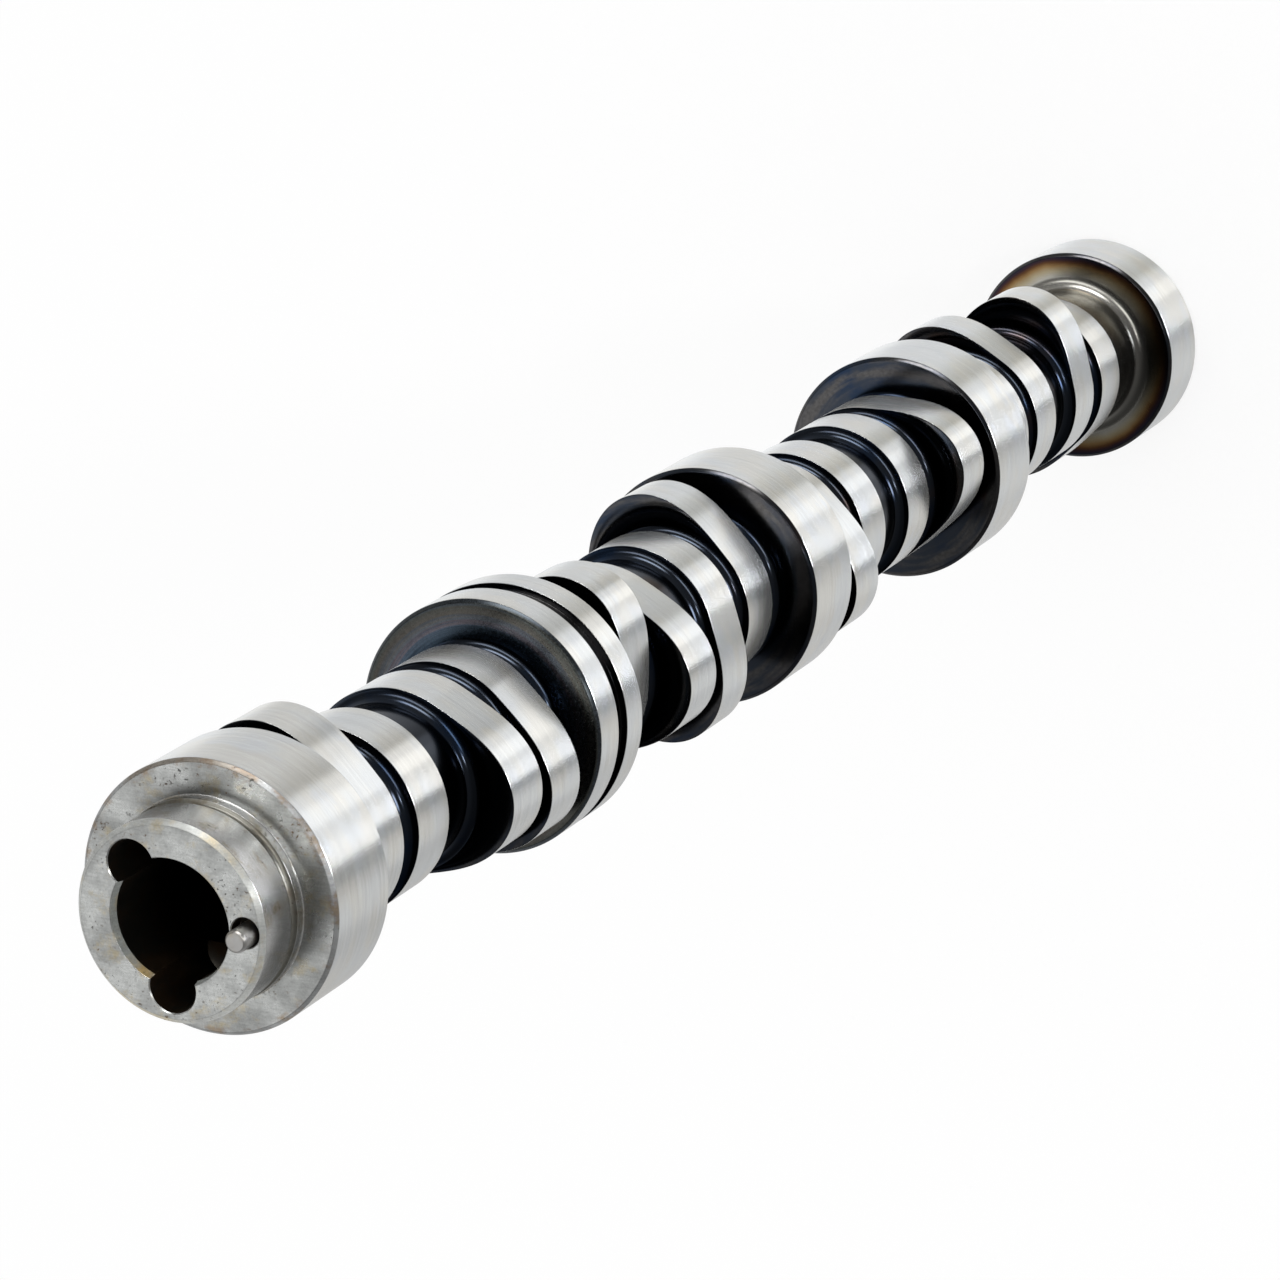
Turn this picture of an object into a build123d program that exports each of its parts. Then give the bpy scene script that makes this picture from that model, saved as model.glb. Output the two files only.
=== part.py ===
from build123d import *
import math
import os

# Camshaft of an eight-cylinder vee engine: one steel shaft and the dowel pin that locates its gear.
# Millimetres and degrees. The shaft stands on its rear end with the nose up and its axis on Z.
# The origin is the centre of the rear face, and +X points from the axis towards the dowel pin.
# A station is a distance behind the front edge of the first journal's ground width.

# Bearing journals
JOURNAL_RADIUS = 27.5
JOURNAL_WIDTH = 19.6
JOURNAL_CHAMFER = 0.75
JOURNAL_PITCH = 111.76
FIRST_JOURNAL_LEAD = 1.6        # how far the first journal stands ahead of the even spacing
LAST_JOURNAL_LAG = 11.3         # how far the last journal stands behind the even spacing
LAST_JOURNAL_WIDTH = 18.2

# Oil gallery groove in the second journal
GROOVED_JOURNAL = 1             # counted from 0
GROOVE_START = 8.2              # behind the journal's front edge
GROOVE_WIDTH = 4.2
GROOVE_DEPTH = 1.5

# Necks between the lobes and journals
NECK_RADIUS = 16.8
NECK_FILLET = 2.4
ROOT_STEP = 0.2                 # least step from a fillet's edge up to its wall's rim
LAST_NECK_RADIUS = 17.9         # between the last lobe and the rear journal
LAST_NECK_FILLETS = (1.5, 3.5)  # at the lobe and at the journal

# Lobes: base circle, lift law and the roller that follows it
LOBE_WIDTH = 12.9
BASE_RADIUS = 19.65
LOBE_LIFT = 7.25
HALF_DURATION = 70.8
LIFT_POWER = 2.3
ROLLER_RADIUS = 8.9
FLANK_STEPS = 6

# Lobe layout along the shaft
FIRST_LOBE = 33.0               # centre of a bay's first lobe behind the even journal spacing
BANK_OFFSET = 19.15             # between the lobes of facing cylinders
VALVE_SPACING = 46.25           # between the two lobes of one cylinder

# Lobe timing, in shaft degrees
FIRING_ORDER = (1, 8, 7, 2, 6, 5, 4, 3)
BANK_ANGLE = 90.0
LOBE_SEPARATION = 119.5
FIRST_EXHAUST_ANGLE = -7.2      # first cylinder's exhaust lobe, from the dowel pin

# Nose that carries the timing gear
NOSE_RADIUS = 20.1
NOSE_LENGTH = 14.8
NOSE_CHAMFER = 1.0
RELIEF_GROOVE_WIDTH = 2.2       # round groove where the grinding of the nose ends
RELIEF_GROOVE_DEPTH = 0.8
COLLAR_RADIUS = 20.3            # narrow collar between the groove and the first journal
COLLAR_WIDTH = 2.2

# Front bore and the two screw holes that open into it
BORE_RADIUS = 12.3
BORE_DEPTH = 60.0
MOUTH_RADIUS = 12.7
MOUTH_DEPTH = 1.8
SIDE_HOLE_RADIUS = 4.9
SIDE_HOLE_CIRCLE = 13.05        # distance of the hole centres from the axis
SIDE_HOLE_DEPTH = 22.0
SIDE_HOLE_ANGLES = (128.0, 271.0)
DRILL_POINT = 118.0

# Dowel pin, its seat and the wider relief round the mouth of the seat
PIN_RADIUS = 2.25
PIN_CIRCLE = 16.15
PIN_REACH = 4.0                 # stands proud of the nose's face
PIN_SEAT_DEPTH = 8.0            # below the relief
PIN_CHAMFER = 0.4
PIN_CLEARANCE = 0.01            # between the pin and its seat, on the radius
PIN_RELIEF_RADIUS = 2.95
PIN_RELIEF_CIRCLE = 16.05
PIN_RELIEF_DEPTH = 3.5
PIN_RELIEF_ANGLE = 1.6

# Centre hole in the rear face
CENTRE_RADIUS = 3.0
CENTRE_DEPTH = 12.0
CENTRE_MOUTH_RADIUS = 5.5
CENTRE_ANGLE = 60.0

OVERCUT = 1.0                   # how far a drill's cutter starts above its face
BAYS = len(FIRING_ORDER) // 2   # one bay of lobes for each pair of facing cylinders
LOBES_PER_BAY = 4


def grid_station(bay):
    """Station of the even journal spacing at the front of a bay, counted from 0."""
    return FIRST_JOURNAL_LEAD + bay * JOURNAL_PITCH


def journal_span(index):
    """Front and rear stations of a journal's ground width."""
    if index == 0:
        return 0.0, JOURNAL_WIDTH
    if index == BAYS:
        front = grid_station(index) + LAST_JOURNAL_LAG
        return front, front + LAST_JOURNAL_WIDTH
    front = grid_station(index)
    return front, front + JOURNAL_WIDTH


DATUM_HEIGHT = journal_span(BAYS)[1] + JOURNAL_CHAMFER
NOSE_FACE = DATUM_HEIGHT + JOURNAL_CHAMFER + NOSE_LENGTH


def height(station):
    """Z of a station."""
    return DATUM_HEIGHT - station


def lobe_span(bay, place):
    """Front and rear stations of a lobe."""
    centre = grid_station(bay) + FIRST_LOBE + BANK_OFFSET * (place % 2) + VALVE_SPACING * (place // 2)
    return centre - LOBE_WIDTH / 2, centre + LOBE_WIDTH / 2


def lobe_angle(bay, place):
    """Direction of a lobe's nose about +Z, from the dowel pin.

    In each bay the lobes are intake and exhaust of the two facing cylinders in turn: the odd
    cylinder's intake, the even one's exhaust, the odd one's exhaust and the even one's intake.
    """
    cylinder = 2 * bay + 1 + place % 2
    turn = 360.0 / len(FIRING_ORDER) * FIRING_ORDER.index(cylinder)
    bank = BANK_ANGLE * (place % 2)
    intake = place in (0, 3)
    return FIRST_EXHAUST_ANGLE + turn + bank + (LOBE_SEPARATION if intake else 0.0)


def lobe_point(angle):
    """Point of the lobe's surface under the roller, for an angle from the nose in degrees."""
    turn = math.radians(angle)
    limit = math.radians(HALF_DURATION)
    rest = max(0.0, 1 - (turn / limit) ** 2)
    lift = LOBE_LIFT * rest ** LIFT_POWER
    slope = -2 * LOBE_LIFT * LIFT_POWER * rest ** (LIFT_POWER - 1) * turn / limit ** 2
    centre = BASE_RADIUS + ROLLER_RADIUS + lift
    normal = math.hypot(centre, slope)
    radial = centre - ROLLER_RADIUS * centre / normal
    across = ROLLER_RADIUS * slope / normal
    return (
        radial * math.cos(turn) - across * math.sin(turn),
        radial * math.sin(turn) + across * math.cos(turn),
    )


def lobe_face():
    """Outline of a lobe with its nose along +X."""
    points = [lobe_point(HALF_DURATION * k / FLANK_STEPS) for k in range(-FLANK_STEPS, FLANK_STEPS + 1)]
    limit = math.radians(HALF_DURATION)
    tangents = [(math.sin(limit), math.cos(limit)), (-math.sin(limit), math.cos(limit))]
    nose = Spline(*points, tangents=tangents)
    base = ThreePointArc(points[-1], (-BASE_RADIUS, 0), points[0])
    return make_face([nose, base])


def make_lobes():
    """All lobes, each turned and set at its station."""
    face = lobe_face()
    lobes = []
    for bay in range(BAYS):
        for place in range(LOBES_PER_BAY):
            rear = lobe_span(bay, place)[1]
            lobe = extrude(face, LOBE_WIDTH)
            lobes.append(Pos(0, 0, height(rear)) * Rot(0, 0, lobe_angle(bay, place)) * lobe)
    return lobes


def point(radius, z):
    """Point of the turned profile."""
    return Vector(radius, 0, z)


def polyline(points):
    """Straight edges through the points, in order."""
    return [Line(a, b) for a, b in zip(points, points[1:])]


def neck_edges(heights, rims, radius, fillets):
    """Edges of a neck between two walls, from the upper wall down to the lower one.

    The fillets share the neck's length at most, and end below the rims of their walls.
    """
    top, bottom = heights
    share = min(1.0, (top - bottom) / (sum(fillets) + ROOT_STEP))
    above, below = (min(share * fillet, rim - ROOT_STEP - radius) for fillet, rim in zip(fillets, rims))
    bulge = 1 - math.sqrt(0.5)
    upper = point(radius, top - above)
    lower = point(radius, bottom + below)
    upper_middle = point(radius + bulge * above, top - bulge * above)
    lower_middle = point(radius + bulge * below, bottom + bulge * below)
    return [
        ThreePointArc(point(radius + above, top), upper_middle, upper),
        Line(upper, lower),
        ThreePointArc(lower, lower_middle, point(radius + below, bottom)),
    ]


def groove_points(front):
    """Corners of the gallery groove, for the height of its journal's front edge."""
    top = front - GROOVE_START
    bottom = top - GROOVE_WIDTH
    floor = JOURNAL_RADIUS - GROOVE_DEPTH
    edge = JOURNAL_RADIUS
    return [point(edge, top), point(floor, top), point(floor, bottom), point(edge, bottom)]


def journal_points(index):
    """Corners of a journal between its two faces, from the front down."""
    front, rear = (height(s) for s in journal_span(index))
    edge = JOURNAL_RADIUS - JOURNAL_CHAMFER
    points = [point(edge, front + JOURNAL_CHAMFER), point(JOURNAL_RADIUS, front)]
    if index == GROOVED_JOURNAL:
        points += groove_points(front)
    return points + [point(JOURNAL_RADIUS, rear), point(edge, rear - JOURNAL_CHAMFER)]


def nose_edges():
    """Edges of the nose, from the axis out and down to the first journal's face."""
    shoulder = NOSE_FACE - NOSE_LENGTH
    collar = shoulder + COLLAR_WIDTH
    ground = [
        point(0, NOSE_FACE),
        point(NOSE_RADIUS - NOSE_CHAMFER, NOSE_FACE),
        point(NOSE_RADIUS, NOSE_FACE - NOSE_CHAMFER),
        point(NOSE_RADIUS, collar + RELIEF_GROOVE_WIDTH),
    ]
    floor = point(NOSE_RADIUS - RELIEF_GROOVE_DEPTH, collar + RELIEF_GROOVE_WIDTH / 2)
    groove = ThreePointArc(ground[-1], floor, point(COLLAR_RADIUS, collar))
    return polyline(ground) + [groove, Line(groove @ 1, point(COLLAR_RADIUS, shoulder))]


def bay_edges(bay):
    """Edges of a bay, from the rear face of its first journal to the front face of the next."""
    walls = [height(journal_span(bay)[1]) - JOURNAL_CHAMFER]
    for place in range(LOBES_PER_BAY):
        walls += [height(s) for s in lobe_span(bay, place)]
    walls.append(height(journal_span(bay + 1)[0]) + JOURNAL_CHAMFER)
    journal_rim = JOURNAL_RADIUS - JOURNAL_CHAMFER
    rims = [journal_rim] + [BASE_RADIUS] * (2 * LOBES_PER_BAY) + [journal_rim]
    gaps = list(zip(zip(walls[::2], walls[1::2]), zip(rims[::2], rims[1::2])))
    necks = [neck_edges(*gap, NECK_RADIUS, (NECK_FILLET, NECK_FILLET)) for gap in gaps]
    if bay == BAYS - 1:
        necks[-1] = neck_edges(*gaps[-1], LAST_NECK_RADIUS, LAST_NECK_FILLETS)
    edges = necks[0]
    for neck in necks[1:]:
        inside_lobe = Line(edges[-1] @ 1, neck[0] @ 0)
        edges += [inside_lobe] + neck
    return edges


def turned_body():
    """Nose, journals and necks as one turned solid."""
    edges = nose_edges()
    edges += polyline([edges[-1] @ 1] + journal_points(0))
    for bay in range(BAYS):
        between = bay_edges(bay)
        edges.append(Line(edges[-1] @ 1, between[0] @ 0))
        edges += between + polyline([between[-1] @ 1] + journal_points(bay + 1))
    edges += polyline([edges[-1] @ 1, point(0, 0), point(0, NOSE_FACE)])
    return revolve(make_face(edges), axis=Axis.Z)


def drill(radius, depth, point_angle):
    """Cutter of a blind hole that enters at z = 0 and goes down, with a drill's point."""
    tip = radius / math.tan(math.radians(point_angle / 2))
    outline = [
        point(0, OVERCUT),
        point(radius, OVERCUT),
        point(radius, -depth),
        point(0, -depth - tip),
        point(0, OVERCUT),
    ]
    return revolve(make_face(polyline(outline)), axis=Axis.Z)


def at_polar(radius, angle, z):
    """Place at a distance and direction from the axis."""
    turn = math.radians(angle)
    return Pos(radius * math.cos(turn), radius * math.sin(turn), z)


def tapered_mouth(mouth_radius, hole_radius, depth):
    """Cutter that narrows from z = 0 down to the hole's radius."""
    outline = [point(0, 0), point(mouth_radius, 0), point(hole_radius, -depth), point(0, -depth), point(0, 0)]
    return revolve(make_face(polyline(outline)), axis=Axis.Z)


def bore_cutter():
    """Front bore with its slightly wider mouth."""
    mouth = tapered_mouth(MOUTH_RADIUS, BORE_RADIUS, MOUTH_DEPTH)
    return Pos(0, 0, NOSE_FACE) * (mouth + drill(BORE_RADIUS, BORE_DEPTH, DRILL_POINT))


def centre_cutter():
    """Centre hole in the rear face, which the grinder's centre seats in."""
    depth = (CENTRE_MOUTH_RADIUS - CENTRE_RADIUS) / math.tan(math.radians(CENTRE_ANGLE / 2))
    mouth = tapered_mouth(CENTRE_MOUTH_RADIUS, CENTRE_RADIUS, depth)
    return Rot(180, 0, 0) * (mouth + drill(CENTRE_RADIUS, CENTRE_DEPTH, DRILL_POINT))


def make_camshaft():
    """The shaft: turned body and lobes, with its bores cut."""
    shaft = turned_body() + make_lobes()
    shaft -= bore_cutter()
    side_hole = drill(SIDE_HOLE_RADIUS, SIDE_HOLE_DEPTH, DRILL_POINT)
    for angle in SIDE_HOLE_ANGLES:
        shaft -= at_polar(SIDE_HOLE_CIRCLE, angle, NOSE_FACE) * side_hole
    relief = Cylinder(PIN_RELIEF_RADIUS, 2 * PIN_RELIEF_DEPTH)
    seat = Cylinder(PIN_RADIUS + PIN_CLEARANCE, 2 * (PIN_RELIEF_DEPTH + PIN_SEAT_DEPTH))
    shaft -= at_polar(PIN_RELIEF_CIRCLE, PIN_RELIEF_ANGLE, NOSE_FACE) * relief
    shaft -= at_polar(PIN_CIRCLE, 0, NOSE_FACE) * seat
    return shaft - centre_cutter()


def make_dowel_pin():
    """The pin, seated on the floor of its hole and proud of the nose's face."""
    foot = -PIN_RELIEF_DEPTH - PIN_SEAT_DEPTH
    outline = [
        point(0, foot),
        point(PIN_RADIUS - PIN_CHAMFER, foot),
        point(PIN_RADIUS, foot + PIN_CHAMFER),
        point(PIN_RADIUS, PIN_REACH - PIN_CHAMFER),
        point(PIN_RADIUS - PIN_CHAMFER, PIN_REACH),
        point(0, PIN_REACH),
        point(0, foot),
    ]
    return at_polar(PIN_CIRCLE, 0, NOSE_FACE) * revolve(make_face(polyline(outline)), axis=Axis.Z)


os.makedirs("parts", exist_ok=True)
export_step(make_camshaft(), "parts/camshaft.step")
export_step(make_dowel_pin(), "parts/dowel_pin.step")
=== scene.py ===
"""Looks of a ground steel camshaft: turned body, roller lobes and locating pin, and the studio round it."""

import logging
import math
from collections.abc import Sequence
from dataclasses import dataclass, field
from enum import Enum
from functools import cached_property

import bmesh
import bpy
from mathutils import Matrix, Vector

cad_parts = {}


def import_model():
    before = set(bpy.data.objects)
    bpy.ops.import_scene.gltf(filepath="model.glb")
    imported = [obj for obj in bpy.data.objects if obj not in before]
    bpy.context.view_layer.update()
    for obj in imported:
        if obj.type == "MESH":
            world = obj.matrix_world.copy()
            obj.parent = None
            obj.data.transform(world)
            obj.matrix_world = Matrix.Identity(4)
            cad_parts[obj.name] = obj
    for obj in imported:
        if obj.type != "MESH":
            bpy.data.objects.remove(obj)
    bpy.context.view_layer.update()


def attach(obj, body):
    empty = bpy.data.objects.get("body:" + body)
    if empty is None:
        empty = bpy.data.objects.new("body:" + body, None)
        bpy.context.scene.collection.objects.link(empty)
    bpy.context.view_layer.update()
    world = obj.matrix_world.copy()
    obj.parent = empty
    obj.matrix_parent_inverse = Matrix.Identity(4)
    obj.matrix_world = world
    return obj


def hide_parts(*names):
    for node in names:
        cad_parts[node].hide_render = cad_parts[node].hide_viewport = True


MM = 0.001
ON_AXIS = 1e-6
LOG = logging.getLogger("camshaft")

Colour = tuple[float, float, float]
Place = tuple[float, float, float]
Point = tuple[float, float]


class Surface(Enum):
    """How a part of the steel was worked. The value is its place in a piece's list of materials."""

    GROUND = 0
    DARK = 1
    FACED = 2
    BORED = 3
    TEMPERED = 4
    NOSE = 5
    RELIEF = 6
    SCALED = 7
    CHAMFER = 8
    NOSE_CHAMFER = 9
    MOUTH = 10


# ---- Node trees ----


@dataclass(frozen=True)
class Term:
    """A value in a node tree. Each sum or product that is written with it adds one Math node.

    Attributes:
        sheet: The sheet that the nodes are added to.
        socket: The output socket that gives the value.
    """

    sheet: "Sheet"
    socket: bpy.types.NodeSocket

    def __add__(self, other: object) -> "Term":
        """Returns the term plus another value."""
        return self.sheet.math("ADD", self, other)

    def __radd__(self, other: float) -> "Term":
        """Returns a number plus the term."""
        return self.sheet.math("ADD", other, self)

    def __sub__(self, other: object) -> "Term":
        """Returns the term less another value."""
        return self.sheet.math("SUBTRACT", self, other)

    def __rsub__(self, other: float) -> "Term":
        """Returns a number less the term."""
        return self.sheet.math("SUBTRACT", other, self)

    def __mul__(self, other: object) -> "Term":
        """Returns the term times another value."""
        return self.sheet.math("MULTIPLY", self, other)

    def __truediv__(self, other: object) -> "Term":
        """Returns the term divided by another value."""
        return self.sheet.math("DIVIDE", self, other)

    def __pow__(self, other: object) -> "Term":
        """Returns the term raised to a power."""
        return self.sheet.math("POWER", self, other)


@dataclass
class Sheet:
    """A node tree that is filled in by short calls.

    Attributes:
        tree: The node tree that nodes are added to.
    """

    tree: bpy.types.NodeTree

    def feed(self, socket: bpy.types.NodeSocket, value: object) -> None:
        """Links an input to a term or an output socket, or sets it to a plain value.

        Args:
            socket: The input.
            value: What it is given. A plain colour has three numbers.
        """
        value = value.socket if isinstance(value, Term) else value
        if isinstance(value, bpy.types.NodeSocket):
            self.tree.links.new(value, socket)
        else:
            socket.default_value = (*value, 1.0) if socket.type == "RGBA" else value

    def fill(self, node: bpy.types.Node, **sockets: object) -> None:
        """Feeds inputs of a node, by socket name with _ for a space."""
        for name, value in sockets.items():
            self.feed(node.inputs[name.replace("_", " ")], value)

    def add(self, kind: str, settings: dict | None = None, **sockets: object) -> bpy.types.Node:
        """Adds a node.

        Args:
            kind: The node's type name.
            settings: Properties of the node, by name.
            **sockets: What its inputs are fed, by socket name with _ for a space.

        Returns:
            The new node.
        """
        node = self.tree.nodes.new(kind)
        for name, value in (settings or {}).items():
            setattr(node, name, value)
        self.fill(node, **sockets)
        return node

    def read(self, node: bpy.types.Node, output: int | str = 0) -> Term:
        """Returns what a node gives at an output."""
        return Term(self, node.outputs[output])

    def get(self, kind: str, settings: dict | None = None, output: int | str = 0, **sockets: object) -> Term:
        """Adds a node and returns what it gives at an output."""
        return self.read(self.add(kind, settings, **sockets), output)

    def math(
        self, operation: str, *values: object, kind: str = "ShaderNodeMath", output: int | str = 0
    ) -> Term:
        """Adds a Math node.

        Args:
            operation: What it works out.
            *values: What it works on.
            kind: Type name of another node of the same build.
            output: The output that is read.

        Returns:
            The result.
        """
        node = self.add(kind, {"operation": operation})
        for socket, value in zip(node.inputs, values):
            self.feed(socket, value)
        return self.read(node, output)

    def vector(self, operation: str, *values: object, output: int | str = 0) -> Term:
        """Returns the result of a Vector Math node."""
        return self.math(operation, *values, kind="ShaderNodeVectorMath", output=output)

    def join(self, **parts: object) -> Term:
        """Returns a vector made of its parts X, Y and Z."""
        return self.get("ShaderNodeCombineXYZ", **parts)

    def flat(self, vector: Term) -> Term:
        """Returns a vector without its height."""
        return self.vector("MULTIPLY", vector, (1.0, 1.0, 0.0))

    def level(self, vector: Term) -> Term:
        """Returns a vector without its height, made 1 long."""
        return self.vector("NORMALIZE", self.flat(vector))

    def facing(self, level: Term, angle: float) -> Term:
        """Returns 1 where a level vector points to an angle in degrees, and -1 where it points away."""
        turn = math.radians(angle)
        return self.vector("DOT_PRODUCT", level, (math.cos(turn), math.sin(turn), 0.0), output="Value")

    def scaled(self, vector: object, factor: object) -> Term:
        """Returns a vector or a colour times a factor."""
        return self.get("ShaderNodeVectorMath", {"operation": "SCALE"}, Vector=vector, Scale=factor)

    def smooth(self, value: Term, low: float, high: float) -> Term:
        """Returns 0 where a value is at low, 1 where it is at high, with a smooth run between them."""
        settings = {"interpolation_type": "SMOOTHSTEP"}
        return self.get("ShaderNodeMapRange", settings, Value=value, From_Min=low, From_Max=high)

    def spread(self, noise: Term, low: float, high: float) -> Term:
        """Returns noise, which mostly lies between 0.3 and 0.7, carried over to a range."""
        ends = {"From_Min": 0.3, "From_Max": 0.7, "To_Min": low, "To_Max": high}
        return self.get("ShaderNodeMapRange", {"clamp": False}, Value=noise, **ends)

    def mix(self, share: object, first: object, second: object, blend: str = "MIX") -> Term:
        """Lays one colour over another.

        Args:
            share: How much the second colour shows, from 0 to 1.
            first: The colour below.
            second: The colour above.
            blend: How the two are blended.

        Returns:
            The mixed colour.
        """
        node = self.add("ShaderNodeMix", {"data_type": "RGBA", "blend_type": blend, "clamp_factor": True})
        for index, value in zip((0, 6, 7), (share, first, second)):
            self.feed(node.inputs[index], value)
        return self.read(node, 2)

    def shaded(self, colour: object, shade: Term) -> Term:
        """Returns a colour made lighter or darker by a factor."""
        return self.mix(1.0, colour, self.join(X=shade, Y=shade, Z=shade), "MULTIPLY")

    def ramp(self, value: Term, stops: Sequence[tuple[float, Colour]]) -> Term:
        """Reads a colour from a ramp.

        Args:
            value: The place on the ramp, from 0 to 1.
            stops: Places on the ramp and their colours.

        Returns:
            The colour at the place.
        """
        node = self.add("ShaderNodeValToRGB", Fac=value)
        elements = node.color_ramp.elements
        for number, (position, colour) in enumerate(stops):
            element = elements[number] if number < len(elements) else elements.new(position)
            element.position = position
            element.color = (*colour, 1.0)
        return self.read(node)


@dataclass
class Coat(Sheet):
    """The node tree of a steel's material, with the marks that the finishes share.

    Attributes:
        shader: The material's shader.
        place: Object coordinates in metres.
    """

    shader: bpy.types.Node = field(init=False)
    place: Term = field(init=False)

    def __post_init__(self) -> None:
        """Finds the shader and adds the coordinates."""
        self.shader = next(node for node in self.tree.nodes if node.type == "BSDF_PRINCIPLED")
        self.place = self.get("ShaderNodeTexCoord", output="Object")

    @cached_property
    def radius(self) -> Term:
        """Distance from the shaft's axis."""
        return self.vector("LENGTH", self.flat(self.place), output="Value")

    @cached_property
    def height(self) -> Term:
        """Height above the shaft's rear face."""
        return self.get("ShaderNodeSeparateXYZ", Vector=self.place, output="Z")

    @cached_property
    def outward(self) -> Term:
        """Direction away from the shaft's axis."""
        return self.level(self.place)

    def side(self, angle: float) -> Term:
        """Returns 1 on the side of the shaft that an angle in degrees points to, and -1 on the far side."""
        return self.facing(self.outward, angle)

    def noise(
        self,
        stretch: float | Place,
        detail: float = 3.0,
        rough: float = 0.55,
        shift: Place | None = None,
        turn: float = 0.0,
        place: Term | None = None,
    ) -> Term:
        """Adds a noise pattern.

        Args:
            stretch: Bumps per metre, along each axis or along all.
            detail: How many finer layers are added.
            rough: How strong the finer layers are.
            shift: How far the pattern is shifted, in metres.
            turn: Angle that the pattern is turned by about the shaft's axis, in radians.
            place: What it is read at, if not the Object coordinates.

        Returns:
            Noise of 0 to 1.
        """
        place = place or self.place
        if shift:
            place = self.vector("ADD", place, shift)
        scale = stretch if isinstance(stretch, tuple) else (stretch,) * 3
        mapped = self.get("ShaderNodeMapping", Vector=place, Rotation=(0.0, 0.0, turn), Scale=scale)
        return self.get("ShaderNodeTexNoise", Vector=mapped, Scale=1.0, Detail=detail, Roughness=rough)

    def rings(self, pitch: float) -> Term:
        """Returns noise of 0 to 1 in rings round the shaft, by their mean distance in metres."""
        return self.noise((1 / pitch, 1.0, 1.0), place=self.join(X=self.radius))

    def streaks(self, stretch: Place, swirl: float, rough: float) -> Term:
        """Adds streaks that lie round a face.

        Args:
            stretch: Bumps per metre along each axis.
            swirl: How many more there are for each metre of radius.
            rough: How strong the finer layers are.

        Returns:
            Noise of 0 to 1.
        """
        wide = self.vector("MULTIPLY", self.place, stretch)
        return self.noise(1.0, 4.0, rough, place=self.vector("ADD", wide, self.join(Z=self.radius * swirl)))

    def lay(self, colour: Term, roughness: Term, marks: Term, depth: float) -> None:
        """Gives the shader its colour, its roughness and the relief of the marks.

        Args:
            colour: The steel's colour.
            roughness: Its roughness.
            marks: Height of the marks.
            depth: How far a mark with a height of 1 stands out, in metres.
        """
        bump = self.get("ShaderNodeBump", Strength=1.0, Distance=depth, Height=marks)
        self.fill(self.shader, Base_Color=colour, Roughness=roughness, Normal=bump)


# ---- Finishes ----


@dataclass(frozen=True)
class SteelFinish:
    """What every steel finish shares: a metal with a colour, a sheen and the marks of its tool.

    Attributes:
        name: The material's name.
        colour: The metal's colour, linear.
        roughness: Mean roughness.
        anisotropy: How much wider the sheen is across the tool marks than along them.
        metal: How far it mirrors. The rest is scattered evenly, as dull or scuffed steel does.
    """

    name: str
    colour: Colour
    roughness: float
    anisotropy: float = 0.0
    metal: float = 1.0

    def make(self) -> bpy.types.Material:
        """Makes the material.

        Returns:
            The finished material.
        """
        material = bpy.data.materials.new(self.name)
        material.use_nodes = True
        material.diffuse_color = (*self.colour, 1.0)
        material.metallic, material.roughness = self.metal, self.roughness
        coat = Coat(material.node_tree)
        coat.fill(coat.shader, Metallic=self.metal, Roughness=self.roughness, Base_Color=self.colour)
        if self.anisotropy:
            coat.fill(coat.shader, Anisotropic=self.anisotropy, Tangent=self.across_marks(coat))
        self.dress(coat)
        return material

    def across_marks(self, coat: Coat) -> Term:
        """Returns the direction of the wider sheen: along the shaft, across marks that run round it."""
        return coat.join(Z=1.0)

    def dress(self, coat: Coat) -> None:
        """Adds the finish's own marks and colours to its coat."""
        raise NotImplementedError


@dataclass(frozen=True)
class GroundSteel(SteelFinish):
    """Bright ground steel, with fine lines that run round the shaft.

    Attributes:
        line_pitch: Mean distance between grinding lines in metres.
        band_pitch: Mean distance between the wheel's coarser marks in metres.
        line_depth: Depth of the lines in metres.
        swell_depth: Depth of the faint chatter between the wheel's passes, in metres.
        warm: Warm colour of oily patches.
        cool: Cool colour of clean patches.
    """

    line_pitch: float = 0.45 * MM
    band_pitch: float = 1.3 * MM
    line_depth: float = 0.0009 * MM
    swell_depth: float = 0.003 * MM
    warm: Colour = (0.74, 0.73, 0.69)
    cool: Colour = (0.71, 0.73, 0.745)

    def dress(self, coat: Coat) -> None:
        """Adds grinding lines, faint bands, chatter and oily patches.

        Args:
            coat: The material's coat.
        """
        lines = coat.noise((60.0, 60.0, 1 / self.line_pitch), 3.0, 0.6)
        bands = coat.noise((75.0, 75.0, 1 / self.band_pitch), 4.0, 0.65)
        swell = coat.noise((150.0, 150.0, 60.0), 2.0)
        clouds = coat.noise((90.0, 90.0, 120.0), 3.0, 0.6)
        patches = coat.noise((60.0, 60.0, 90.0), 2.0, shift=(0.7, 0.2, 0.4))
        steel = coat.mix(coat.smooth(patches, 0.40, 0.62), self.colour, self.warm)
        steel = coat.mix(coat.smooth(clouds, 0.50, 0.72), steel, self.cool)
        shade = coat.spread(lines, 0.95, 1.05) * coat.spread(bands, 0.955, 1.045)
        rough = self.roughness + (bands - 0.5) * 0.06 + (clouds - 0.5) * 0.06
        marks = lines + swell * (self.swell_depth / self.line_depth)
        coat.lay(coat.shaded(steel, shade), rough, marks, self.line_depth)


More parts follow.
